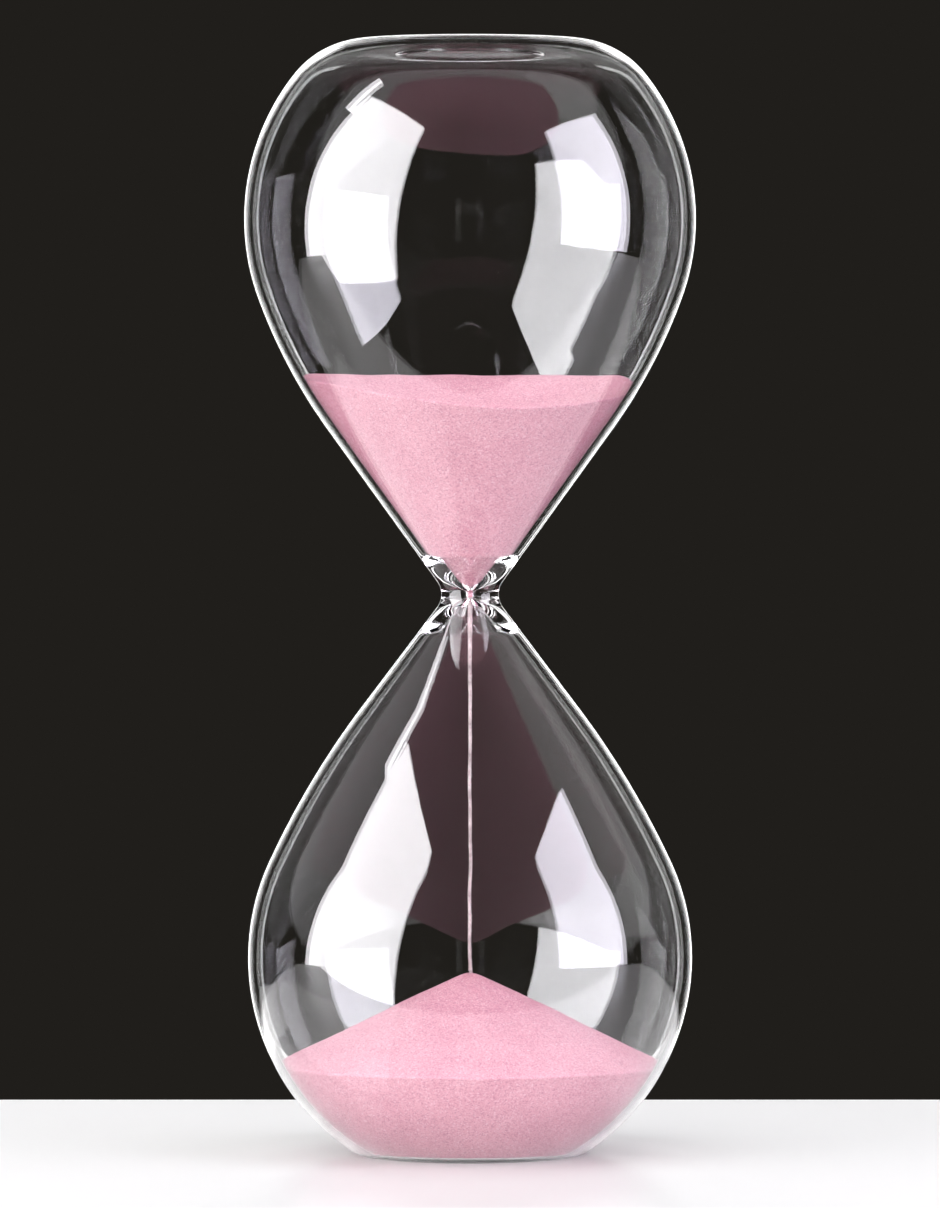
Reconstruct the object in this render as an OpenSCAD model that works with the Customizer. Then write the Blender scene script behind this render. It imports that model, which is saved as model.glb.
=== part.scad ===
// Frameless blown-glass hourglass: two flat-ended bulbs welded to a thick waist with a fine orifice,
// half emptied, with the sand still running. The origin is the middle of the foot, on the table.
// Outlines are lists of [radius, distance from the waist], turned about the upright axis.

/* [Upper bulb] */
// Height from the middle of the waist to the top
upper_h = 79.6; // [66:0.1:96]
// Outer diameter at the widest ring
upper_d = 64.8; // [54:0.1:78]
// Diameter of the flat on top
top_flat_d = 29.2; // [24:0.1:35]
// Radius that rounds the flat into the shoulder, where the bulb has room for it
top_rim_r = 13.5; // [2:0.1:16]
// How far the centre of the belly's arc lies past the axis
upper_belly_offset = 0.9; // [0:0.1:2]
// Degrees by which the cone opens wider than a line laid from the waist to the belly
upper_flare = 2.5; // [0.5:0.1:4]
// Share of the cone's angle at which the belly's arc ends and the flank's flatter arc starts
upper_flank_share = 0.55; // [0.3:0.01:0.7]

/* [Lower bulb] */
// Height from the foot to the middle of the waist
lower_h = 80.4; // [67:0.1:97]
// Outer diameter at the widest ring
lower_d = 63.8; // [54:0.1:77]
// Diameter of the flat foot
foot_flat_d = 31; // [26:0.1:37]
// Radius that rounds the foot into the side
foot_rim_r = 3; // [2:0.1:8]
// How far the centre of the belly's arc lies past the axis
lower_belly_offset = 1.5; // [0:0.1:2]
// Degrees by which the cone opens wider than a line laid from the waist to the belly
lower_flare = 3.1; // [0.5:0.1:4]
// Share of the cone's angle at which the belly's arc ends and the flank's flatter arc starts
lower_flank_share = 0.67; // [0.3:0.01:0.7]

/* [Glass] */
// Thickness of the blown wall
wall = 1.2; // [0.9:0.05:1.6]
// Diameter of the pressed-in middle of the foot and of the top
kick_d = 20; // [12:0.5:22]
// Depth of the pressed-in middle
kick_depth = 0.4; // [0.2:0.05:0.8]

/* [Waist] */
// Outer diameter at the narrowest ring
waist_d = 8.2; // [7:0.1:10]
// Radius of the hollow curve round the waist
waist_fillet = 3; // [1.5:0.1:5]
// Distance of each flame weld from the middle of the waist
weld_s = 10; // [8.5:0.1:13]
// Diameter of the orifice
bore_d = 0.94; // [0.8:0.02:1.4]
// Length of the orifice
bore_l = 1; // [0.6:0.1:1.6]
// Radius that rounds the funnel into the orifice
throat_r = 0.6; // [0.4:0.1:1.2]
// Radius that rounds the cone into the funnel
funnel_r = 4; // [3:0.1:5]
// Distance from the middle of the waist to the near side of that rounding's circle
funnel_s = 4.6; // [4:0.1:5.4]

/* [Fill plug] */
// Diameter of the hole that the sand is poured through
fill_hole_d = 4; // [3:0.1:6]
// Diameter of the plug's head, which sits in the pressed-in middle of the foot
plug_head_d = 8; // [6.5:0.1:10]
// How far the head stays above the table
plug_lift = 0.05; // [0.02:0.01:0.1]
// Gap between the plug's stem and the hole
plug_gap = 0.03; // [0.01:0.01:0.08]

/* [Sand] */
// Height of the upper sand's rim above the middle of the waist
upper_level = 31.9; // [20:0.1:40]
// Depth of the crater over the orifice
crater_depth = 8.7; // [4:0.1:9]
// Height of the lower pile's tip
pile_h = 26.2; // [18:0.1:35]
// Slope at which the sand comes to rest
repose = 26; // [22:0.5:32]
// How far the pile's tip is blunted
pile_blunt = 0.25; // [0.1:0.05:0.6]
// Gap between the sand and the glass
sand_gap = 0.05; // [0.02:0.01:0.1]

/* [Hidden] */
$fn = 96;

clear_glass = [0.86, 0.91, 0.94, 0.35];
clear_plug = [0.92, 0.93, 0.94, 0.6];
pink_sand = [0.94, 0.74, 0.81];

// A bulb is [height, radius, flat radius, rim radius, belly offset, flare, flank share]
upper = [upper_h, upper_d / 2, top_flat_d / 2, top_rim_r,
         upper_belly_offset, upper_flare, upper_flank_share];
lower = [lower_h, lower_d / 2, foot_flat_d / 2, foot_rim_r,
         lower_belly_offset, lower_flare, lower_flank_share];

// The rim's radius takes at most this share of the room beside the flat
rim_share = 0.85;
// Width of the slope between the pressed-in middle and the flat ring around it
kick_run = 1;
// How far the hole for the plug is cut past both faces
cut_past = 1;
// Number of straight pieces in each arc of an outline
belly_steps = 26;
flank_steps = 6;
rim_steps = 12;
neck_steps = 8;
pile_steps = 16;

bore_r = bore_d / 2;
stream_r = bore_r - sand_gap;
fill_hole_r = fill_hole_d / 2;
waist_centre = [waist_d / 2 + waist_fillet, 0];
throat_centre = [bore_r + throat_r, bore_l / 2];

// A bulb's widest ring, belly arc and rim arc
function belly_r(b) = b[1] + b[4];
function rim_r(b) = min(b[3], rim_share * (belly_r(b) - b[2] - b[4]));
function rim_centre(b) = [b[2], b[0] - rim_r(b)];
function belly_s(b) = b[0] - rim_r(b) - sqrt(pow(belly_r(b) - rim_r(b), 2) - pow(b[2] + b[4], 2));
function belly_centre(b) = [-b[4], belly_s(b)];
function shoulder_a(b) = let (d = rim_centre(b) - belly_centre(b)) atan2(d[1], d[0]);

// Angle from the axis of the line that touches a round-outward arc and a round-inward arc
function touch_a(full, full_r, hollow, hollow_r) =
    let (d = hollow - full) -atan2(d[1], d[0]) - acos((full_r + hollow_r) / norm(d));

// The cone between waist and flank, and where the line of its outer face lies
function cone_a(b) = touch_a(belly_centre(b), belly_r(b), waist_centre, waist_fillet) + b[5];
function cone_reach(b) = waist_centre[0] * cos(cone_a(b)) - waist_fillet;
function cone_point(b, s, inset) = [(cone_reach(b) - inset + s * sin(cone_a(b))) / cos(cone_a(b)), s];

// The flank's arc, which touches the cone and the belly's arc
function flank_a(b) = b[6] * cone_a(b);
function flank_r(b) =
    let (bend = cos(cone_a(b) - flank_a(b)))
    (cone_reach(b) + b[4] * cos(cone_a(b)) + belly_s(b) * sin(cone_a(b)) - belly_r(b) * bend) / (1 - bend);
function flank_centre(b) =
    belly_centre(b) + (belly_r(b) - flank_r(b)) * [cos(flank_a(b)), -sin(flank_a(b))];

// The funnel inside each end of the neck: the rounding at its top, and its angle from the axis
function funnel_centre(b) =
    let (s = funnel_s + funnel_r) [cone_point(b, s, wall + funnel_r)[0], s];
function funnel_a(b) = touch_a(funnel_centre(b), funnel_r, throat_centre, throat_r);

// Points along an arc; the next piece of the outline brings the last one unless closed is true
function arc(centre, r, from, to, steps, closed = false) =
    [for (i = [0 : closed ? steps : steps - 1])
        let (t = from + (to - from) * i / steps) centre + r * [cos(t), sin(t)]];

// A bulb's wall from the flank to the axis, set in by inset from the outer face
function bulb_side(b, inset) = concat(
    arc(flank_centre(b), flank_r(b) - inset, -cone_a(b), -flank_a(b), flank_steps),
    arc(belly_centre(b), belly_r(b) - inset, -flank_a(b), shoulder_a(b), belly_steps),
    arc(rim_centre(b), rim_r(b) - inset, shoulder_a(b), 90, rim_steps, true),
    [[kick_d / 2 + kick_run, b[0] - inset],
     [kick_d / 2, b[0] - inset - kick_depth],
     [0, b[0] - inset - kick_depth]]);

// The neck's outer face from the narrowest ring to the weld
function neck_outside(b) = concat(
    arc(waist_centre, waist_fillet, 180, 180 - cone_a(b), neck_steps, true),
    [cone_point(b, weld_s, 0)]);

// The neck's inner face from the orifice's end to the funnel's top, set in by gap from the glass
function neck_inside(b, gap) = concat(
    arc(throat_centre, throat_r + gap, 180, 180 - funnel_a(b), neck_steps, true),
    arc(funnel_centre(b), funnel_r - gap, -funnel_a(b), -cone_a(b), neck_steps, true));

function reversed(list) = [for (i = [len(list) - 1 : -1 : 0]) list[i]];
function flipped(list) = [for (p = list) [p[0], -p[1]]];

// Places what is drawn from the waist up or from the waist down
module above_waist() { translate([0, 0, lower_h]) children(); }
module below_waist() { translate([0, 0, lower_h]) mirror([0, 0, 1]) children(); }

module bulb(b) {
    rotate_extrude() polygon(concat(
        [cone_point(b, weld_s, 0)],
        bulb_side(b, 0),
        reversed(bulb_side(b, wall)),
        [cone_point(b, weld_s, wall)]));
}

// The space inside one bulb and its half of the neck, down to the orifice
module cavity(b, gap) {
    polygon(concat(
        [[0, bore_l / 2]],
        neck_inside(b, gap),
        bulb_side(b, wall + gap)));
}

module upper_bulb() {
    color(clear_glass) above_waist() bulb(upper);
}

module lower_bulb() {
    color(clear_glass) difference() {
        below_waist() bulb(lower);
        translate([0, 0, -cut_past]) cylinder(r = fill_hole_r, h = wall + kick_depth + 2 * cut_past);
    }
}

module neck() {
    color(clear_glass) above_waist() rotate_extrude() polygon(concat(
        flipped(reversed(neck_outside(lower))),
        neck_outside(upper),
        [cone_point(upper, weld_s, wall)],
        reversed(neck_inside(upper, 0)),
        flipped(neck_inside(lower, 0)),
        flipped([cone_point(lower, weld_s, wall)])));
}

module fill_plug() {
    color(clear_plug) {
        translate([0, 0, plug_lift]) cylinder(d = plug_head_d, h = kick_depth - plug_lift);
        translate([0, 0, plug_lift]) cylinder(r = fill_hole_r - plug_gap, h = kick_depth + wall - plug_lift);
    }
}

module upper_sand() {
    crater_r = crater_depth / tan(repose);
    color(pink_sand) above_waist() rotate_extrude() intersection() {
        cavity(upper, sand_gap);
        polygon([
            [0, 0],
            [upper_d, 0],
            [upper_d, upper_level],
            [crater_r, upper_level],
            [0, upper_level - crater_depth]]);
    }
}

// The grains that stand in the orifice, which are the last to fall
module throat_sand() {
    color(pink_sand) translate([0, 0, lower_h - bore_l / 2])
        cylinder(r = stream_r, h = bore_l - sand_gap);
}

// The thread from under the orifice to the tip of the pile
module running_sand() {
    stream_top = lower_h - bore_l / 2 - sand_gap;
    color(pink_sand) translate([0, 0, pile_h + sand_gap])
        cylinder(r = stream_r, h = stream_top - pile_h - sand_gap);
}

// The pile's slope is a hyperbola that runs into the resting slope, so its tip is blunt
module lower_sand() {
    steep = tan(repose);
    reach = lower_d / 2;
    slope = [for (i = [0 : pile_steps])
        let (r = reach * pow(i / pile_steps, 2))
        [r, lower_h - pile_h - pile_blunt + sqrt(pow(pile_blunt, 2) + pow(r * steep, 2))]];
    color(pink_sand) below_waist() rotate_extrude() intersection() {
        cavity(lower, sand_gap);
        polygon(concat(slope, [[reach, lower_h], [0, lower_h]]));
    }
}

upper_bulb();
lower_bulb();
neck();
fill_plug();
upper_sand();
throat_sand();
running_sand();
lower_sand();
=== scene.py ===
"""A frameless blown-glass hourglass, half run, with the sand still falling.

Sizes are metres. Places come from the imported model: the foot is on z = 0, and every outline is a
list of (radius, distance from the waist) points that is turned about the upright axis.
"""
import math

import bpy
import numpy as np
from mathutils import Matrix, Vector


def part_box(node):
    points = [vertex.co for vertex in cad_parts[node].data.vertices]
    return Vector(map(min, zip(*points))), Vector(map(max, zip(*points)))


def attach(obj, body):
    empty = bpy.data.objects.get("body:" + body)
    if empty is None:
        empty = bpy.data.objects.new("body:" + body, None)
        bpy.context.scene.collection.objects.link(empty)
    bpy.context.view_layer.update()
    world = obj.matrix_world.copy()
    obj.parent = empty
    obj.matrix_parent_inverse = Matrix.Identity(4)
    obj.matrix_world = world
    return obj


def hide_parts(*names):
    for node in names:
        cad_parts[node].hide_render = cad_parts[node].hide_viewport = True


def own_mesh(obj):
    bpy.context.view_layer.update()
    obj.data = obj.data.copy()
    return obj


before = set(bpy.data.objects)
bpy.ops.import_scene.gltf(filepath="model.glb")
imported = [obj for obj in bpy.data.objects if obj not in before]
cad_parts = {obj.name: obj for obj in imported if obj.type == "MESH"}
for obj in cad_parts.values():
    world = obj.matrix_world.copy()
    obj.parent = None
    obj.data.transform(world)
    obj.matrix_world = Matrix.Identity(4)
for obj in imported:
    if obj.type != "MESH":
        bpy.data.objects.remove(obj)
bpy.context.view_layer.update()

# ---------------------------------------------------------------------------------------------
# Camera. A long lens a little below the middle of the upper bulb's height, tipped down so that
# the waist sits near the middle of the picture.
# ---------------------------------------------------------------------------------------------
camera_distance = 1.2
camera_height = 0.1093
aim_height = 0.0785
picture_height = 0.1742

camera_data = bpy.data.cameras.new("camera")
camera_data.sensor_width = 36.0
camera_data.lens = camera_data.sensor_width * camera_distance / picture_height
camera_data.clip_start = 0.05
camera_data.clip_end = 20.0
camera = bpy.data.objects.new("camera", camera_data)
bpy.context.collection.objects.link(camera)
camera.location = (0.0, -camera_distance, camera_height)
camera.rotation_euler = (
    math.radians(90) - math.atan2(camera_height - aim_height, camera_distance), 0.0, 0.0)
scene = bpy.context.scene
scene.camera = camera
scene.view_settings.view_transform = "Standard"
scene.cycles.max_bounces = 28
scene.cycles.transmission_bounces = 24
scene.cycles.glossy_bounces = 12
scene.cycles.transparent_max_bounces = 32


def node_tree(owner):
    """Switches on an owner's nodes, empties them, and gives back the tree."""
    owner.use_nodes = True
    owner.node_tree.nodes.clear()
    return owner.node_tree


def add_node(tree, kind, **settings):
    """Adds one node; a setting named after a socket sets that socket, any other sets the node."""
    node = tree.nodes.new(kind)
    for name, value in settings.items():
        socket = name.replace("_", " ")
        if socket in node.inputs:
            node.inputs[socket].default_value = value
        else:
            setattr(node, name, value)
    return node


# ---------------------------------------------------------------------------------------------
# Table. A plain white shelf with softened edges, only as deep as the hourglass needs, in front of
# a plain dark surround.
# ---------------------------------------------------------------------------------------------
shelf_front = -0.081
shelf_back = 0.0934
shelf_width = 1.2
shelf_thickness = 0.018
shelf_edge = 0.0015

shelf_mesh = bpy.data.meshes.new("shelf")
corner = np.array([[x, y, z] for z in (-shelf_thickness, 0.0)
                   for y in (shelf_front, shelf_back)
                   for x in (-shelf_width / 2, shelf_width / 2)])
shelf_mesh.from_pydata(corner.tolist(), [], [
    (0, 2, 3, 1), (4, 5, 7, 6), (0, 1, 5, 4), (2, 6, 7, 3), (0, 4, 6, 2), (1, 3, 7, 5)])
shelf = bpy.data.objects.new("shelf", shelf_mesh)
bpy.context.collection.objects.link(shelf)
shelf_bevel = shelf.modifiers.new("soft_edge", "BEVEL")
shelf_bevel.width = shelf_edge
shelf_bevel.segments = 4


def white_lacquer():
    """Plain white paint, smooth enough to take a faint reflection."""
    material = bpy.data.materials.new("white_lacquer")
    tree = node_tree(material)
    paint = add_node(tree, "ShaderNodeBsdfPrincipled", Base_Color=(0.94, 0.94, 0.94, 1.0),
                     Roughness=0.35)
    out = add_node(tree, "ShaderNodeOutputMaterial")
    tree.links.new(paint.outputs["BSDF"], out.inputs["Surface"])
    return material


shelf_mesh.materials.append(white_lacquer())

world = bpy.data.worlds.new("surround")
scene.world = world
surround = node_tree(world)
surround_light = add_node(surround, "ShaderNodeBackground", Color=(0.0145, 0.013, 0.011, 1.0))
surround_out = add_node(surround, "ShaderNodeOutputWorld")
surround.links.new(surround_light.outputs["Background"], surround_out.inputs["Surface"])

# ---------------------------------------------------------------------------------------------
# Studio light. Tall softboxes stand to the left and right, with a narrow strip light above the
# left one, and plain ones stand in front and behind and hang overhead. Three rim lights behind
# edge the glass in white, and two white cards lie on the shelf on the left of the foot. The glass
# mirrors them, and they light the sand and the shelf, but none is seen straight through the glass.
# ---------------------------------------------------------------------------------------------


mirror_forward = 0.001
mirror_boost = 1000.0


def lamp(name, place, turn, wide, tall, tint, mirrored, lighting):
    """A soft rectangular lamp in two parts of one size. One lights surfaces, with a radiance of
    lighting. The other is what glass mirrors: it has a radiance of mirrored for a ray that has
    been reflected, and none for a ray that has only passed through. It stands mirror_forward
    nearer, since two lamps in one plane would hide each other. Its energy is divided by
    mirror_boost, and its nodes multiply it back for reflected rays."""
    for part, radiance in (("shine", lighting), ("mirror", mirrored)):
        if not radiance:
            continue
        data = bpy.data.lights.new(name + "_" + part, "AREA")
        data.shape = "RECTANGLE"
        data.size = wide
        data.size_y = tall
        data.color = tint
        data.energy = math.pi * wide * tall * radiance
        lamp_part = bpy.data.objects.new(data.name, data)
        bpy.context.collection.objects.link(lamp_part)
        lamp_part.location = place
        lamp_part.rotation_euler = turn
        if part == "shine":
            data.cycles.use_multiple_importance_sampling = False
            lamp_part.visible_glossy = False
            lamp_part.visible_transmission = False
            continue
        lamp_part.visible_diffuse = False
        lamp_part.location += (
            lamp_part.rotation_euler.to_matrix() @ Vector((0.0, 0.0, -mirror_forward)))
        data.energy /= mirror_boost
        tree = node_tree(data)
        path = add_node(tree, "ShaderNodeLightPath")
        direct = add_node(tree, "ShaderNodeMath", operation="SUBTRACT")
        bounced = add_node(tree, "ShaderNodeMath", operation="GREATER_THAN")
        bounced.inputs[1].default_value = 0.5
        strength = add_node(tree, "ShaderNodeMath", operation="MULTIPLY")
        strength.inputs[1].default_value = mirror_boost
        glow = add_node(tree, "ShaderNodeEmission")
        out = add_node(tree, "ShaderNodeOutputLight")
        tree.links.new(path.outputs["Glossy Depth"], direct.inputs[0])
        tree.links.new(path.outputs["Diffuse Depth"], direct.inputs[1])
        tree.links.new(direct.outputs[0], bounced.inputs[0])
        tree.links.new(bounced.outputs[0], strength.inputs[0])
        tree.links.new(strength.outputs[0], glow.inputs["Strength"])
        tree.links.new(glow.outputs[0], out.inputs["Surface"])


def softbox(name, azimuth, spread, low, high, lean, distance, tint, mirrored, lighting):
    """An upright rectangular lamp. Azimuth and spread are the middle and width of it in degrees
    round the axis, from the camera's side and positive to the right. Low and high are the
    elevations of its corners seen from the waist, before it leans."""
    middle = (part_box("neck")[0][2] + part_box("neck")[1][2]) / 2
    half = distance * math.tan(math.radians(spread / 2))
    reach = math.hypot(distance, half)
    bottom, top = (reach * math.tan(math.radians(angle)) for angle in (low, high))
    turn = math.radians(azimuth)
    lamp(name, (distance * math.sin(turn), -distance * math.cos(turn),
                middle + (bottom + top) / 2),
         (math.radians(90), math.radians(lean), turn), 2 * half, top - bottom,
         tint, mirrored, lighting)


white = (1.0, 1.0, 1.0)
cool = (0.99, 0.97, 1.0)
lavender = (0.93, 0.89, 1.0)
card_white = (1.0, 0.98, 0.98)
card_turn = (math.pi, 0.0, math.radians(-33))

# softbox: name, azimuth, spread, low, high, lean, distance, tint, mirrored, lighting
# lamp: name, place, turn, width, height, tint, mirrored, lighting
softbox("softbox_left", -61, 54, -20, 49, 9, 0.52, cool, 13.0, 2.15)
softbox("strip_left", -87, 7, 44, 58, 0, 0.52, cool, 13.0, 0.0)
softbox("softbox_right", 67, 40, -7, 42, 0, 0.60, lavender, 9.5, 3.6)
softbox("softbox_front", -6, 44, -12, 40, 0, 1.25, (1.0, 1.0, 0.97), 0.0, 4.1)
lamp("softbox_overhead", (0.0, 0.0, 0.80), (0.0, 0.0, 0.0), 0.55, 0.45, white, 0.0, 1.7)
softbox("softbox_rear", 180, 60, 33, 60, 0, 1.2, white, 0.0, 2.4)
softbox("rim_light_left", -168, 6, -20, 22, 0, 2.0, white, 2.6, 0.4)
softbox("rim_light_right", 168, 6, -20, 22, 0, 2.0, white, 2.6, 0.4)
softbox("rim_light_top", 180, 30, 7, 17, 0, 2.0, white, 2.0, 0.4)
lamp("white_card_near", (-0.0551, -0.0298, 0.002), card_turn, 0.06, 0.05, card_white, 0.5, 0.0)
lamp("white_card_far", (-0.1101, 0.0417, 0.002), card_turn, 0.11, 0.11, card_white, 0.5, 0.0)

# ---------------------------------------------------------------------------------------------
# Upper bulb. Borosilicate tube blown in the flame: a round belly, a shoulder turned over to a flat
# top, and a long cone that the neck is welded to. The wall is even, with a faint ripple from the
# lathe and the flame.
# ---------------------------------------------------------------------------------------------
glass_wall = 0.0012
weld_distance = 0.010
waist_radius = 0.0041
waist_fillet = 0.003
kick_radius = 0.010
kick_run = 0.001
kick_depth = 0.0004
ripple_depth = 0.00005
segments_round = 224

waist_height = (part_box("neck")[0][2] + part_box("neck")[1][2]) / 2
waist_centre = np.array([waist_radius + waist_fillet, 0.0])


def arc(centre, radius, start, stop, count):
    """Points on a circle: centre + radius * (cos t, sin t), for count angles from start to stop."""
    t = np.linspace(start, stop, count)
    return centre + radius * np.stack([np.cos(t), np.sin(t)], axis=1)


def straight(start, stop, count):
    """Points at equal steps from start to stop."""
    return np.asarray(start) + np.linspace(0, 1, count)[:, None] * (np.asarray(stop) - start)


def touching_angle(full, full_radius, hollow, hollow_radius):
    """Angle from the axis of the line that touches a round-outward circle and a round-inward one:
    minus the slope of the line between the centres, minus acos(sum of the radii / distance)."""
    gap = hollow - full
    return (-math.atan2(gap[1], gap[0])
            - math.acos((full_radius + hollow_radius) / math.hypot(*gap)))


class BulbOutline:
    """The outline of one bulb, drawn from the waist outwards as (radius, distance from the waist).
    A belly arc runs into a shoulder arc that ends on the flat, and into a flatter flank arc that
    touches the straight cone. The cone opens by flare more than the line that would touch both
    the belly and the hollow of the waist."""

    def __init__(self, height, radius, flat, rim, offset, flare, flank_share):
        self.height, self.rim, self.flat = height, rim, flat
        self.belly = radius + offset
        self.rim_centre = np.array([flat, height - rim])
        self.belly_centre = np.array([-offset, height - rim - math.sqrt(
            (self.belly - rim) ** 2 - (flat + offset) ** 2)])
        toward_rim = self.rim_centre - self.belly_centre
        self.shoulder = math.atan2(toward_rim[1], toward_rim[0])
        self.cone = touching_angle(
            self.belly_centre, self.belly, waist_centre, waist_fillet) + math.radians(flare)
        self.reach = waist_centre[0] * math.cos(self.cone) - waist_fillet
        self.turn = flank_share * self.cone
        bend = math.cos(self.cone - self.turn)
        self.flank = (self.reach + offset * math.cos(self.cone)
                      + self.belly_centre[1] * math.sin(self.cone) - self.belly * bend) / (1 - bend)
        self.flank_centre = self.belly_centre + (self.belly - self.flank) * np.array(
            [math.cos(self.turn), -math.sin(self.turn)])

    def cone_point(self, distance, inset):
        """A point of the cone's wall, inset from its outer face, at a distance from the waist."""
        return np.array([(self.reach - inset + distance * math.sin(self.cone))
                         / math.cos(self.cone), distance])

    def side(self, inset, hole=0.0):
        """The wall from the weld to the middle of the flat, or to the edge of a hole in it."""
        flank = arc(self.flank_centre, self.flank - inset, -self.cone, -self.turn, 36)
        cone = straight(self.cone_point(weld_distance, inset), flank[0], 24)[:-1]
        belly = arc(self.belly_centre, self.belly - inset, -self.turn, self.shoulder, 90)[1:]
        rim = arc(self.rim_centre, self.rim - inset, self.shoulder, math.pi / 2, 44)[1:]
        level = self.height - inset
        ring = straight(rim[-1], [kick_radius + kick_run, level], 6)[1:]
        across = np.linspace(0, 1, 12)[1:]
        kick = np.stack([kick_radius + kick_run * (1 - across),
                         level - kick_depth * (1 - np.cos(math.pi * across)) / 2], axis=1)
        floor = straight(kick[-1], [hole, level - kick_depth], 16)[1:]
        return np.concatenate([cone, flank, belly, rim, ring, kick, floor])


def rippling(points):
    """A few slow waves round and along the wall, never deeper than ripple_depth, that move each
    point inward: depth * (1 + the mean of three sines of angle and height) / 2."""
    angle = np.arctan2(points[:, 1], points[:, 0])
    height = points[:, 2] / 0.010
    waves = (np.sin(3 * angle + 1.3 * height) + np.sin(5 * angle - 0.9 * height + 2.0)
             + np.sin(2 * angle + 2.1 * height + 4.0)) / 3
    radius = np.maximum(np.hypot(points[:, 0], points[:, 1]), 1e-9)
    shift = ripple_depth * (1 + waves) / 2 * np.minimum(radius / 0.02, 1)
    return points * np.stack([1 - shift / radius, 1 - shift / radius,
                              np.ones_like(radius)], axis=1)


def turned(name, loop, materials, weld_rows=(), rippled=True):
    """Turns a closed loop of (radius, height) about the axis. Row i and angle a give the point
    (r cos a, r sin a, z); rows on the axis become one point with a fan of triangles round it.
    The faces between a weld row and the next row take the second material."""
    loop = np.asarray(loop)
    rows = len(loop)
    angle = np.arange(segments_round) * 2 * math.pi / segments_round
    on_axis = loop[:, 0] < 1e-9
    first = np.cumsum(np.where(on_axis, 1, segments_round))
    first = np.concatenate([[0], first[:-1]])
    grid = np.stack([loop[:, :1] * np.cos(angle), loop[:, :1] * np.sin(angle),
                     np.repeat(loop[:, 1:], segments_round, axis=1)], axis=2)
    kept = np.repeat(~on_axis[:, None], segments_round, axis=1)
    kept[:, 0] = True
    points = grid[kept]
    if rippled:
        points = rippling(points)
    here = np.arange(segments_round)
    after = (here + 1) % segments_round
    faces, slots = [], []
    for row in range(rows):
        above = (row + 1) % rows
        low, high = first[row], first[above]
        if on_axis[row] and on_axis[above]:
            continue
        if on_axis[row]:
            ring = np.stack([low + 0 * here, high + after, high + here], axis=1)
        elif on_axis[above]:
            ring = np.stack([low + here, low + after, high + 0 * here], axis=1)
        else:
            ring = np.stack([low + here, low + after, high + after, high + here], axis=1)
        faces += ring.tolist()
        slots += [int(row - rows in weld_rows or row in weld_rows)] * segments_round
    mesh = bpy.data.meshes.new(name)
    mesh.from_pydata(points.tolist(), [], faces)
    for material in materials:
        mesh.materials.append(material)
    mesh.polygons.foreach_set("material_index", slots)
    mesh.shade_smooth()
    mesh.set_sharp_from_angle(angle=math.radians(50))
    piece = bpy.data.objects.new(name, mesh)
    bpy.context.collection.objects.link(piece)
    return piece


def upward(outline):
    """An outline of the upper bulb as (radius, height)."""
    return outline + [0, waist_height]


def downward(outline):
    """An outline of the lower bulb as (radius, height)."""
    return outline * [1, -1] + [0, waist_height]


def blown_glass():
    """Clear borosilicate: refracts at 1.474 with a bare trace of haze from fine surface waves.
    Lamps shine through it with the loss of its two faces, so the sand inside is lit."""
    material = bpy.data.materials.new("blown_glass")
    tree = node_tree(material)
    place = add_node(tree, "ShaderNodeTexCoord")
    waves = add_node(tree, "ShaderNodeTexNoise", Scale=90.0, Detail=1.0)
    relief = add_node(tree, "ShaderNodeBump", Strength=0.05, Distance=0.0002)
    glass = add_node(tree, "ShaderNodeBsdfPrincipled", Base_Color=(0.985, 0.99, 0.99, 1.0),
                     Roughness=0.0, IOR=1.474, Transmission_Weight=1.0)
    lit_through = add_node(tree, "ShaderNodeBsdfTransparent", Color=(0.95, 0.955, 0.955, 1.0))
    path = add_node(tree, "ShaderNodeLightPath")
    mixed = add_node(tree, "ShaderNodeMixShader")
    out = add_node(tree, "ShaderNodeOutputMaterial")
    tree.links.new(place.outputs["Object"], waves.inputs["Vector"])
    tree.links.new(waves.outputs[0], relief.inputs["Height"])
    tree.links.new(relief.outputs["Normal"], glass.inputs["Normal"])
    tree.links.new(path.outputs["Is Shadow Ray"], mixed.inputs[0])
    tree.links.new(glass.outputs["BSDF"], mixed.inputs[1])
    tree.links.new(lit_through.outputs["BSDF"], mixed.inputs[2])
    tree.links.new(mixed.outputs[0], out.inputs["Surface"])
    return material


def weld_joint():
    """The face where two pieces were melted into one wall: no surface is left, so it is clear."""
    material = bpy.data.materials.new("weld_joint")
    tree = node_tree(material)
    clear = add_node(tree, "ShaderNodeBsdfTransparent")
    out = add_node(tree, "ShaderNodeOutputMaterial")
    tree.links.new(clear.outputs["BSDF"], out.inputs["Surface"])
    return material


glass_materials = [blown_glass(), weld_joint()]

upper_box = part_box("upper_bulb")
upper_outline = BulbOutline(
    height=upper_box[1][2] - waist_height, radius=(upper_box[1][0] - upper_box[0][0]) / 2,
    flat=0.0146, rim=0.0135, offset=0.0009, flare=2.5, flank_share=0.55)
upper_bulb = turned("blown_upper_bulb", upward(np.concatenate(
    [upper_outline.side(0.0), upper_outline.side(glass_wall)[::-1]])),
    glass_materials, weld_rows=(-1,))
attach(upper_bulb, "glass")
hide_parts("upper_bulb")

# ---------------------------------------------------------------------------------------------
# Lower bulb. Blown like the upper one, with a sharper turn at the foot so that it stands firm,
# and a hole in the middle of the foot that the sand was poured through.
# ---------------------------------------------------------------------------------------------
fill_hole_radius = 0.002

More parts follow.
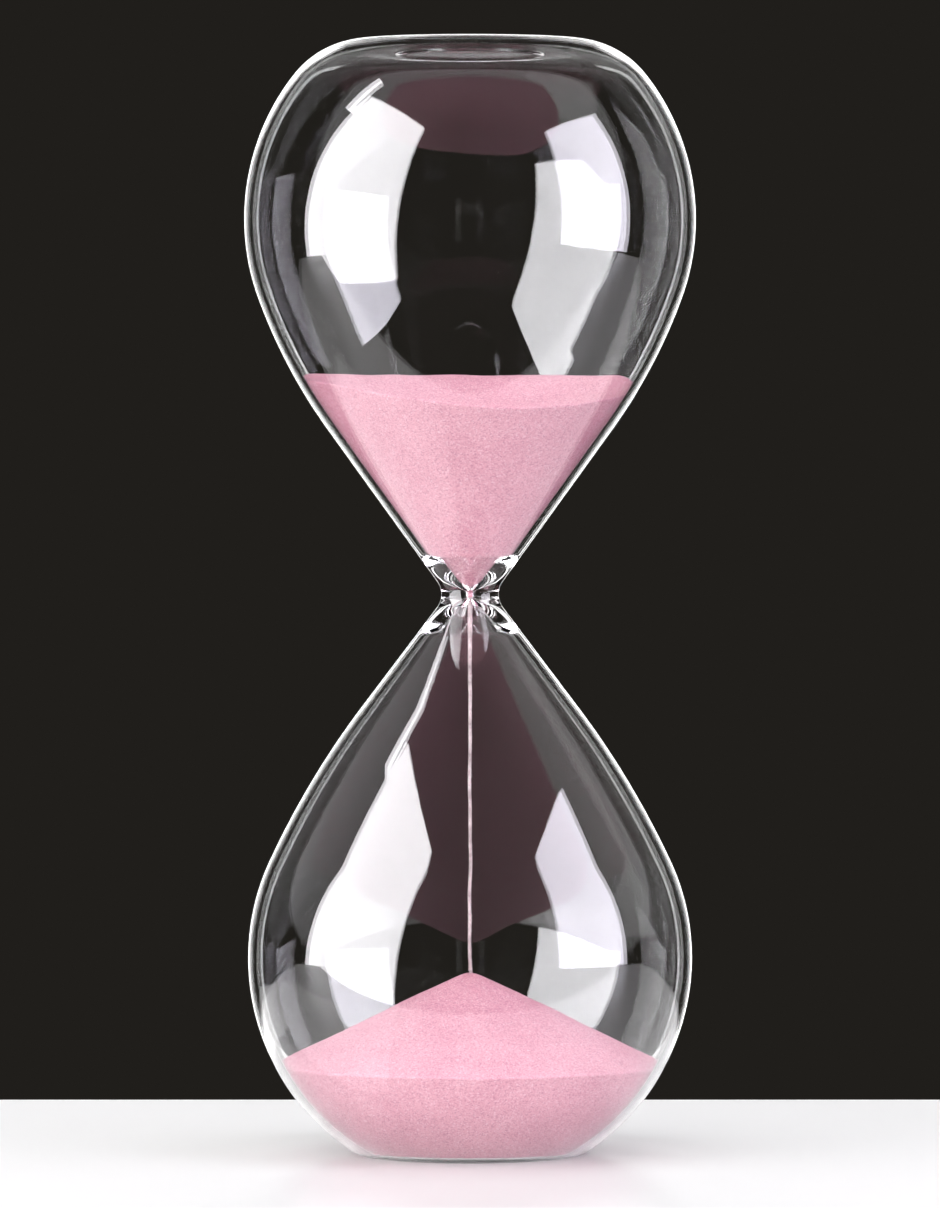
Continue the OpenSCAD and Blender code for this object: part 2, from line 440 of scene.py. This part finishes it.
lower_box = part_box("lower_bulb")
lower_outline = BulbOutline(
    height=waist_height - lower_box[0][2], radius=(lower_box[1][0] - lower_box[0][0]) / 2,
    flat=0.0155, rim=0.003, offset=0.0015, flare=3.1, flank_share=0.67)
lower_bulb = turned("blown_lower_bulb", downward(np.concatenate(
    [lower_outline.side(0.0, fill_hole_radius),
     lower_outline.side(glass_wall, fill_hole_radius)[::-1]]))[::-1],
    glass_materials, weld_rows=(-1,))
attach(lower_bulb, "glass")
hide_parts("lower_bulb")

# ---------------------------------------------------------------------------------------------
# Neck. Thick-walled tube drawn down to a fine orifice in the lathe, with a funnel on each side of
# it, and flame-welded to both bulbs.
# ---------------------------------------------------------------------------------------------
orifice_radius = 0.00047
orifice_length = 0.001
throat_radius = 0.0006
funnel_radius = 0.004
funnel_side = 0.0046

throat_centre = np.array([orifice_radius + throat_radius, orifice_length / 2])


def neck_outer(outline):
    """The hollow round the waist and the cone up to the weld."""
    hollow = arc(waist_centre, waist_fillet, math.pi, math.pi - outline.cone, 28)
    cone = straight(hollow[-1], outline.cone_point(weld_distance, 0.0), 24)[1:]
    return np.concatenate([hollow, cone])


def neck_inner(outline, gap):
    """The rounded end of the orifice, the funnel, its rounded top, and the inner cone up to
    the weld."""
    level = funnel_side + funnel_radius
    centre = np.array([outline.cone_point(level, glass_wall + funnel_radius)[0], level])
    lean = touching_angle(centre, funnel_radius, throat_centre, throat_radius)
    throat = arc(throat_centre, throat_radius + gap, math.pi, math.pi - lean, 24)
    top = arc(centre, funnel_radius - gap, -lean, -outline.cone, 24)
    funnel = straight(throat[-1], top[0], 20)[1:-1]
    cone = straight(top[-1], outline.cone_point(weld_distance, glass_wall + gap), 16)[1:]
    return np.concatenate([throat, funnel, top, cone])


neck_outside = np.concatenate([
    downward(neck_outer(lower_outline))[::-1], upward(neck_outer(upper_outline))[1:]])
orifice = straight([orifice_radius, waist_height + orifice_length / 2],
                   [orifice_radius, waist_height - orifice_length / 2], 10)[1:-1]
neck_inside = np.concatenate([
    upward(neck_inner(upper_outline, 0.0))[::-1], orifice,
    downward(neck_inner(lower_outline, 0.0))])
neck = turned("drawn_neck", np.concatenate([neck_outside, neck_inside]),
              glass_materials, weld_rows=(len(neck_outside) - 1, -1))
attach(neck, "glass")
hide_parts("neck")

# ---------------------------------------------------------------------------------------------
# Fill plug. A moulded plug of clear silicone, pushed and glued into the hole in the foot. Its
# head lies in the pressed-in middle, clear of the table.
# ---------------------------------------------------------------------------------------------
plug_soften = 0.00012
plug_stem_gap = 0.00003
plug_head_gap = 0.00002


def clear_silicone():
    """Cured silicone: milky clear, satin, with a fine cast grain."""
    material = bpy.data.materials.new("clear_silicone")
    tree = node_tree(material)
    place = add_node(tree, "ShaderNodeTexCoord")
    grain = add_node(tree, "ShaderNodeTexNoise", Scale=2500.0, Detail=3.0)
    relief = add_node(tree, "ShaderNodeBump", Strength=0.25, Distance=0.00003)
    tint = add_node(tree, "ShaderNodeValToRGB")
    tint.color_ramp.elements[0].color = (0.80, 0.82, 0.83, 1.0)
    tint.color_ramp.elements[1].color = (0.92, 0.93, 0.93, 1.0)
    rubber = add_node(tree, "ShaderNodeBsdfPrincipled", Roughness=0.35, IOR=1.41,
                      Transmission_Weight=0.55)
    out = add_node(tree, "ShaderNodeOutputMaterial")
    tree.links.new(place.outputs["Object"], grain.inputs["Vector"])
    tree.links.new(grain.outputs[0], relief.inputs["Height"])
    tree.links.new(grain.outputs[0], tint.inputs[0])
    tree.links.new(tint.outputs[0], rubber.inputs["Base Color"])
    tree.links.new(relief.outputs["Normal"], rubber.inputs["Normal"])
    tree.links.new(rubber.outputs["BSDF"], out.inputs["Surface"])
    return material


def rounded_corner(corner, soften, start, turn):
    """A quarter circle inside a square corner, from the angle start, turned by turn."""
    inward = np.array([math.cos(start + turn / 2), math.sin(start + turn / 2)])
    centre = corner - inward * soften * math.sqrt(2)
    return arc(centre, soften, start, start + turn, 7)


plug_low, plug_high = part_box("fill_plug")
plug_head_radius = (plug_high[0] - plug_low[0]) / 2
plug_stem_radius = fill_hole_radius - plug_stem_gap
plug_shoulder = kick_depth - plug_head_gap
quarter = math.pi / 2
plug_loop = np.concatenate([
    straight([0.0, plug_low[2]], [plug_head_radius - plug_soften, plug_low[2]], 12)[:-1],
    rounded_corner(np.array([plug_head_radius, plug_low[2]]), plug_soften, -quarter, quarter),
    rounded_corner(np.array([plug_head_radius, plug_shoulder]), plug_soften, 0.0, quarter),
    straight([plug_head_radius - 2 * plug_soften, plug_shoulder],
             [plug_stem_radius, plug_shoulder], 8),
    straight([plug_stem_radius, plug_shoulder],
             [plug_stem_radius, plug_high[2] - plug_soften], 8)[1:-1],
    rounded_corner(np.array([plug_stem_radius, plug_high[2]]), plug_soften, 0.0, quarter),
    straight([plug_stem_radius - 2 * plug_soften, plug_high[2]], [0.0, plug_high[2]], 6)])
plug = turned("silicone_fill_plug", plug_loop, [clear_silicone()], rippled=False)
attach(plug, "glass")
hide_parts("fill_plug")

# ---------------------------------------------------------------------------------------------
# Upper sand. Fine dyed quartz sand, still to run. It fills the cone of the bulb and the funnel of
# the neck, and a crater has opened over the orifice and reached the glass on the near side.
# ---------------------------------------------------------------------------------------------
sand_gap = 0.00006
grain_size = 0.00015
sand_columns = 512
crater_slope = math.tan(math.radians(26))
crater_bottom = waist_height + 0.0200
crater_centre = (0.002, -0.006)
crater_blunt = 0.0012
level_drop = 0.0001
level_blend = 0.0012
upper_settled = 0.0002
upper_lump_height = 0.00012
upper_lump_size = 0.011

random = np.random.default_rng(7)
upper_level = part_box("upper_sand")[1][2]


def soft_least(first, second, blend):
    """The lesser of two heights, rounded where they cross:
    (a + b - sqrt((a - b)^2 + blend^2)) / 2."""
    return (first + second - np.sqrt((first - second) ** 2 + blend ** 2)) / 2


def slow_swell(x, y, size, seed):
    """Gentle lumps of about 1 in height: the mean of four sines in directions drawn from seed,
    with a wavelength near size."""
    draw = np.random.default_rng(seed)
    turn = draw.uniform(0, 2 * math.pi, 4)
    phase = draw.uniform(0, 2 * math.pi, 4)
    stretch = draw.uniform(0.7, 1.5, 4)
    return sum(np.sin((x * math.cos(t) + y * math.sin(t)) * 2 * math.pi * s / size + p)
               for t, p, s in zip(turn, phase, stretch)) / 4


def crater_surface(x, y):
    """Height of the upper sand: a blunted cone at the resting slope with its centre set towards
    the near side, cut off by the old level, with slow lumps."""
    away = np.hypot(x - crater_centre[0], y - crater_centre[1])
    cone = crater_bottom + crater_slope * np.sqrt(away ** 2 + crater_blunt ** 2)
    return (soft_least(cone, upper_level - level_drop, level_blend)
            + upper_lump_height * slow_swell(x, y, upper_lump_size, 3) - upper_settled)


def heap(name, wall_line, surface, side_rows, top_rows, material):
    """A body of sand that lies in turned glass. wall_line runs from the lowest point on the axis
    up the wall as (radius, height). For each angle the wall is followed to the length at which
    its height meets surface(x, y), and the top runs from there to the axis. Each point is moved
    a part of a grain: inward from the glass at the side, and up or down on top."""
    angle = np.arange(sand_columns) * 2 * math.pi / sand_columns
    length = np.concatenate([[0], np.cumsum(np.hypot(*np.diff(wall_line, axis=0).T))])
    steps = np.linspace(0, length[-1], 4000)
    radius = np.interp(steps, length, wall_line[:, 0])
    height = np.interp(steps, length, wall_line[:, 1])
    x, y = np.outer(np.cos(angle), radius), np.outer(np.sin(angle), radius)
    clear = height[None, :] - surface(x, y)
    met = np.argmax(clear > 0, axis=1)
    line = np.arange(sand_columns)
    share = clear[line, met] / (clear[line, met] - clear[line, met - 1])
    reach = steps[met] - share * (steps[1] - steps[0])
    side = np.linspace(0, 1, side_rows)[1:]
    along = np.outer(side, reach)
    side_radius = np.interp(along, length, wall_line[:, 0])
    side_height = np.interp(along, length, wall_line[:, 1])
    pressed = random.random(side_radius.shape) * 0.3 * grain_size
    pressed[-1] = 0.1 * grain_size
    side_radius = side_radius - pressed
    top = np.linspace(1, 0, top_rows)[1:-1]
    top_radius = np.outer(top, side_radius[-1])
    cos, sin = np.cos(angle), np.sin(angle)
    top_height = surface(top_radius * cos, top_radius * sin)
    top_height += (random.random(top_height.shape) - 0.5) * 0.8 * grain_size
    rings_radius = np.concatenate([side_radius, top_radius])
    rings_height = np.concatenate([side_height, top_height])
    rings = np.stack([rings_radius * cos, rings_radius * sin, rings_height], axis=2)
    tip = [0.0, 0.0, wall_line[0, 1]]
    crown = [0.0, 0.0, float(surface(np.array(0.0), np.array(0.0)))]
    points = np.concatenate([rings.reshape(-1, 3), [tip, crown]])
    row = np.arange(len(rings) - 1)[:, None] * sand_columns
    here, after = line[None, :], (line[None, :] + 1) % sand_columns
    quads = np.stack([row + here, row + after, row + sand_columns + after,
                      row + sand_columns + here], axis=2).reshape(-1, 4)
    last = (len(rings) - 1) * sand_columns
    tip_index, crown_index = len(points) - 2, len(points) - 1
    bottom = np.stack([0 * line + tip_index, (line + 1) % sand_columns, line], axis=1)
    summit = np.stack([last + line, last + (line + 1) % sand_columns, 0 * line + crown_index],
                      axis=1)
    mesh = bpy.data.meshes.new(name)
    mesh.from_pydata(points.tolist(), [], quads.tolist() + bottom.tolist() + summit.tolist())
    mesh.materials.append(material)
    mesh.shade_smooth()
    piece = bpy.data.objects.new(name, mesh)
    bpy.context.collection.objects.link(piece)
    return piece


def dyed_sand(name, dyes, cloud_size, thinnest, relief_share):
    """Dry dyed quartz. Cells the size of a grain vary the dye from grain to grain through the
    four dyes, so that a few grains are nearly bare quartz. Slow cloudiness, down to the colour
    thinnest, shows how closely the grains lie, and each grain stands out a little."""
    material = bpy.data.materials.new(name)
    tree = node_tree(material)
    place = add_node(tree, "ShaderNodeTexCoord")
    grains = add_node(tree, "ShaderNodeTexVoronoi", Scale=1.0 / grain_size, Randomness=1.0)
    clouds = add_node(tree, "ShaderNodeTexNoise", Scale=1.0 / cloud_size, Detail=4.0,
                      Roughness=0.6)
    pick = add_node(tree, "ShaderNodeSeparateColor")
    dye = add_node(tree, "ShaderNodeValToRGB")
    dye.color_ramp.elements[0].color = (*dyes[0], 1.0)
    dye.color_ramp.elements[1].color = (*dyes[3], 1.0)
    dye.color_ramp.elements.new(0.25).color = (*dyes[1], 1.0)
    dye.color_ramp.elements.new(0.85).color = (*dyes[2], 1.0)
    cloudy = add_node(tree, "ShaderNodeMix", data_type="RGBA", blend_type="MULTIPLY")
    cloudy.inputs[0].default_value = 1.0
    packed = add_node(tree, "ShaderNodeValToRGB")
    packed.color_ramp.elements[0].position = 0.3
    packed.color_ramp.elements[0].color = (*thinnest, 1.0)
    packed.color_ramp.elements[1].position = 0.62
    packed.color_ramp.elements[1].color = (1.0, 1.0, 1.0, 1.0)
    relief = add_node(tree, "ShaderNodeBump", Strength=relief_share,
                      Distance=grain_size * 0.35)
    relief.invert = True
    sand = add_node(tree, "ShaderNodeBsdfPrincipled", Roughness=0.85)
    out = add_node(tree, "ShaderNodeOutputMaterial")
    tree.links.new(place.outputs["Object"], grains.inputs["Vector"])
    tree.links.new(place.outputs["Object"], clouds.inputs["Vector"])
    tree.links.new(grains.outputs["Color"], pick.inputs[0])
    tree.links.new(pick.outputs[0], dye.inputs[0])
    tree.links.new(clouds.outputs[0], packed.inputs[0])
    tree.links.new(dye.outputs[0], cloudy.inputs["A"])
    tree.links.new(packed.outputs[0], cloudy.inputs["B"])
    tree.links.new(cloudy.outputs["Result"], sand.inputs["Base Color"])
    tree.links.new(grains.outputs["Distance"], relief.inputs["Height"])
    tree.links.new(relief.outputs["Normal"], sand.inputs["Normal"])
    tree.links.new(sand.outputs["BSDF"], out.inputs["Surface"])
    return material


pink_sand = dyed_sand("dyed_sand", ((0.62, 0.24, 0.35), (0.80, 0.385, 0.485), (0.88, 0.47, 0.565),
                                    (0.95, 0.66, 0.74)), 0.006, (0.93, 0.87, 0.90), 0.5)
upper_wall = upward(np.concatenate([[[0.0, orifice_length / 2]],
                                    neck_inner(upper_outline, sand_gap),
                                    upper_outline.side(glass_wall + sand_gap)[1:]]))
upper_sand = heap("upper_sand_fill", upper_wall, crater_surface, 112, 80, pink_sand)
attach(upper_sand, "glass")
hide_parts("upper_sand")

# ---------------------------------------------------------------------------------------------
# Throat sand. The grains that stand in the orifice and are the last to fall. They fill the bore as
# one short rough cord, about six grains across.
# ---------------------------------------------------------------------------------------------
stream_radius = orifice_radius - 0.00005


def strewn(places, sizes, seed):
    """Points, no four-sided faces, and the triangles of one rough stone at each place: an
    octahedron, stretched and turned at random."""
    draw = np.random.default_rng(seed)
    corner = np.array([[1, 0, 0], [0, 1, 0], [0, 0, 1], [-1, 0, 0], [0, -1, 0], [0, 0, -1]], float)
    face = np.array([[0, 1, 2], [1, 3, 2], [3, 4, 2], [4, 0, 2],
                     [1, 0, 5], [3, 1, 5], [4, 3, 5], [0, 4, 5]])
    count = len(places)
    squash = draw.uniform(0.7, 1.15, (count, 1, 3))
    turn = np.linalg.qr(draw.normal(size=(count, 3, 3)))[0]
    turn *= np.sign(np.linalg.det(turn))[:, None, None]
    stones = np.einsum("nij,nkj->nki", turn, corner[None] * squash)
    points = places[:, None, :] + stones * sizes[:, None, None] / 2
    faces = face[None] + np.arange(count)[:, None, None] * len(corner)
    return points.reshape(-1, 3), np.empty((0, 4), int), faces.reshape(-1, 3)


def column(radius_at, bottom, top, rows, columns, seed):
    """Points, four-sided faces and triangles of a rough upright cord of sand: at each height a
    ring of radius radius_at(height) round the thread's wandering centre line, each point drawn
    in by a random share of the radius, closed at both ends."""
    draw = np.random.default_rng(seed)
    height = np.linspace(bottom, top, rows)
    angle = np.arange(columns) * 2 * math.pi / columns
    radius = radius_at(height)[:, None] * (1 - 0.22 * draw.random((rows, columns)))
    ends = np.array([0, -1])
    radius[ends] *= 0.75
    wander = thread_wander(height)
    ring = np.stack([wander[0][:, None] + radius * np.cos(angle),
                     wander[1][:, None] + radius * np.sin(angle),
                     np.repeat(height[:, None], columns, axis=1)], axis=2)
    caps = [[wander[0][0], wander[1][0], bottom], [wander[0][-1], wander[1][-1], top]]
    points = np.concatenate([ring.reshape(-1, 3), caps])
    here = np.arange(columns)
    after = (here + 1) % columns
    row = np.arange(rows - 1)[:, None] * columns
    quads = np.stack([row + here, row + after, row + columns + after, row + columns + here],
                     axis=2).reshape(-1, 4)
    foot, head = rows * columns, rows * columns + 1
    last = (rows - 1) * columns
    fans = np.concatenate([np.stack([0 * here + foot, after, here], axis=1),
                           np.stack([last + here, last + after, 0 * here + head], axis=1)])
    return points, quads, fans


def thread_wander(height):
    """How far the falling thread strays from the axis: sines that grow with the drop below the
    orifice, so that it leaves the orifice dead straight."""
    drop = np.clip((waist_height - orifice_length / 2 - height) / 0.055, 0, 1)
    across = 0.00010 * drop * (np.sin(height / 0.0031) + 0.6 * np.sin(height / 0.0013 + 1.0))
    along = 0.00008 * drop * np.sin(height / 0.0037 + 2.0)
    return across, along


def sand_piece(name, groups, material):
    """One mesh of several groups of points, four-sided faces and triangles."""
    points, faces, start = [], [], 0
    for group_points, quads, triangles in groups:
        points += group_points.tolist()
        faces += (quads + start).tolist() + (triangles + start).tolist()
        start += len(group_points)
    mesh = bpy.data.meshes.new(name)
    mesh.from_pydata(points, [], faces)
    mesh.materials.append(material)
    mesh.shade_smooth()
    piece = bpy.data.objects.new(name, mesh)
    bpy.context.collection.objects.link(piece)
    return piece


throat_low, throat_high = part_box("throat_sand")
throat = sand_piece("orifice_sand", [column(
    lambda height: np.full_like(height, stream_radius), throat_low[2], throat_high[2],
    24, 20, 11)], pink_sand)
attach(throat, "last_grains")
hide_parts("throat_sand")

# ---------------------------------------------------------------------------------------------
# Running sand. The thread that falls from the orifice to the tip of the pile. It draws out as it
# speeds up, and single grains part from it on the way down. At the end of the run its tail falls,
# so the thread shortens into the tip of the pile.
# ---------------------------------------------------------------------------------------------
thread_low, thread_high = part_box("running_sand")
thread_drawn_radius = 0.00026
thread_drawn_over = 0.008
thread_dips = 0.0006
stray_count = 420


def thread_radius(height):
    """The thread's radius: it falls from the orifice's to the drawn-out one in the first part of
    the drop, as exp(-drop / thread_drawn_over)."""
    drop = thread_high[2] - height
    return (thread_drawn_radius
            + (stream_radius - thread_drawn_radius) * np.exp(-drop / thread_drawn_over))


stray_draw = np.random.default_rng(23)
stray_height = thread_low[2] + (thread_high[2] - thread_low[2]) * stray_draw.random(
    stray_count) ** 1.6
stray_turn = stray_draw.uniform(0, 2 * math.pi, stray_count)
stray_away = thread_radius(stray_height) + stray_draw.random(stray_count) * (
    stream_radius - thread_radius(stray_height) - grain_size / 2)
stray_wander = thread_wander(stray_height)
stray_places = np.stack([
    stray_wander[0] * 0.5 + stray_away * np.cos(stray_turn),
    stray_wander[1] * 0.5 + stray_away * np.sin(stray_turn),
    np.clip(stray_height, thread_low[2] + grain_size, thread_high[2] - grain_size)], axis=1)
# The falling thread is the same dyed sand as the pile, but its dyes are painted much paler: painted
# light, standing for the bright light that the thin thread catches.
falling_sand_painted_light = dyed_sand("falling_sand_painted_light", ((0.66, 0.42, 0.48), (0.88, 0.70, 0.74),
                                          (0.95, 0.84, 0.86), (1.0, 0.96, 0.96)),
                         0.004, (0.30, 0.27, 0.28), 0.8)
thread = sand_piece("falling_thread", [
    column(thread_radius, thread_low[2] - thread_dips, thread_high[2], 420, 14, 17),
    strewn(stray_places, stray_draw.uniform(0.7, 1.2, stray_count) * grain_size, 29)],
    falling_sand_painted_light)
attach(thread, "glass")
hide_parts("running_sand")
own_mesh(thread)

# ---------------------------------------------------------------------------------------------
# Lower sand. The sand that has run, on the floor of the bulb, in a cone at its resting slope. The
# thread strikes the tip and keeps it blunt.
# ---------------------------------------------------------------------------------------------
resting_slope = math.tan(math.radians(26))
tip_blunt = 0.0006
tip_sunk = 0.0002
slide_depth = 0.00008
pile_lump_height = 0.0001
pile_settled = 0.00012
tip_calm = 0.006
pile_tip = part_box("lower_sand")[1][2]


def pile_surface(x, y):
    """Height of the pile: its tip, less a hyperbola that runs into the resting slope, with faint
    slides down the slope and slow lumps, both fading out within tip_calm of the tip."""
    away = np.hypot(x, y)
    slides = slide_depth * np.sin(9 * np.arctan2(y, x) + 6 * slow_swell(x, y, 0.03, 5))
    lumps = pile_lump_height * slow_swell(x, y, 0.009, 6)
    slope = tip_blunt - np.sqrt(tip_blunt ** 2 + (away * resting_slope) ** 2)
    return (pile_tip - tip_sunk + slope
            + (slides + lumps - pile_settled) * np.minimum(away / tip_calm, 1))


lower_wall = downward(lower_outline.side(glass_wall + sand_gap))[::-1]
lower_sand = heap("lower_sand_pile", lower_wall, pile_surface, 96, 100, pink_sand)
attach(lower_sand, "glass")
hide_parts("lower_sand")
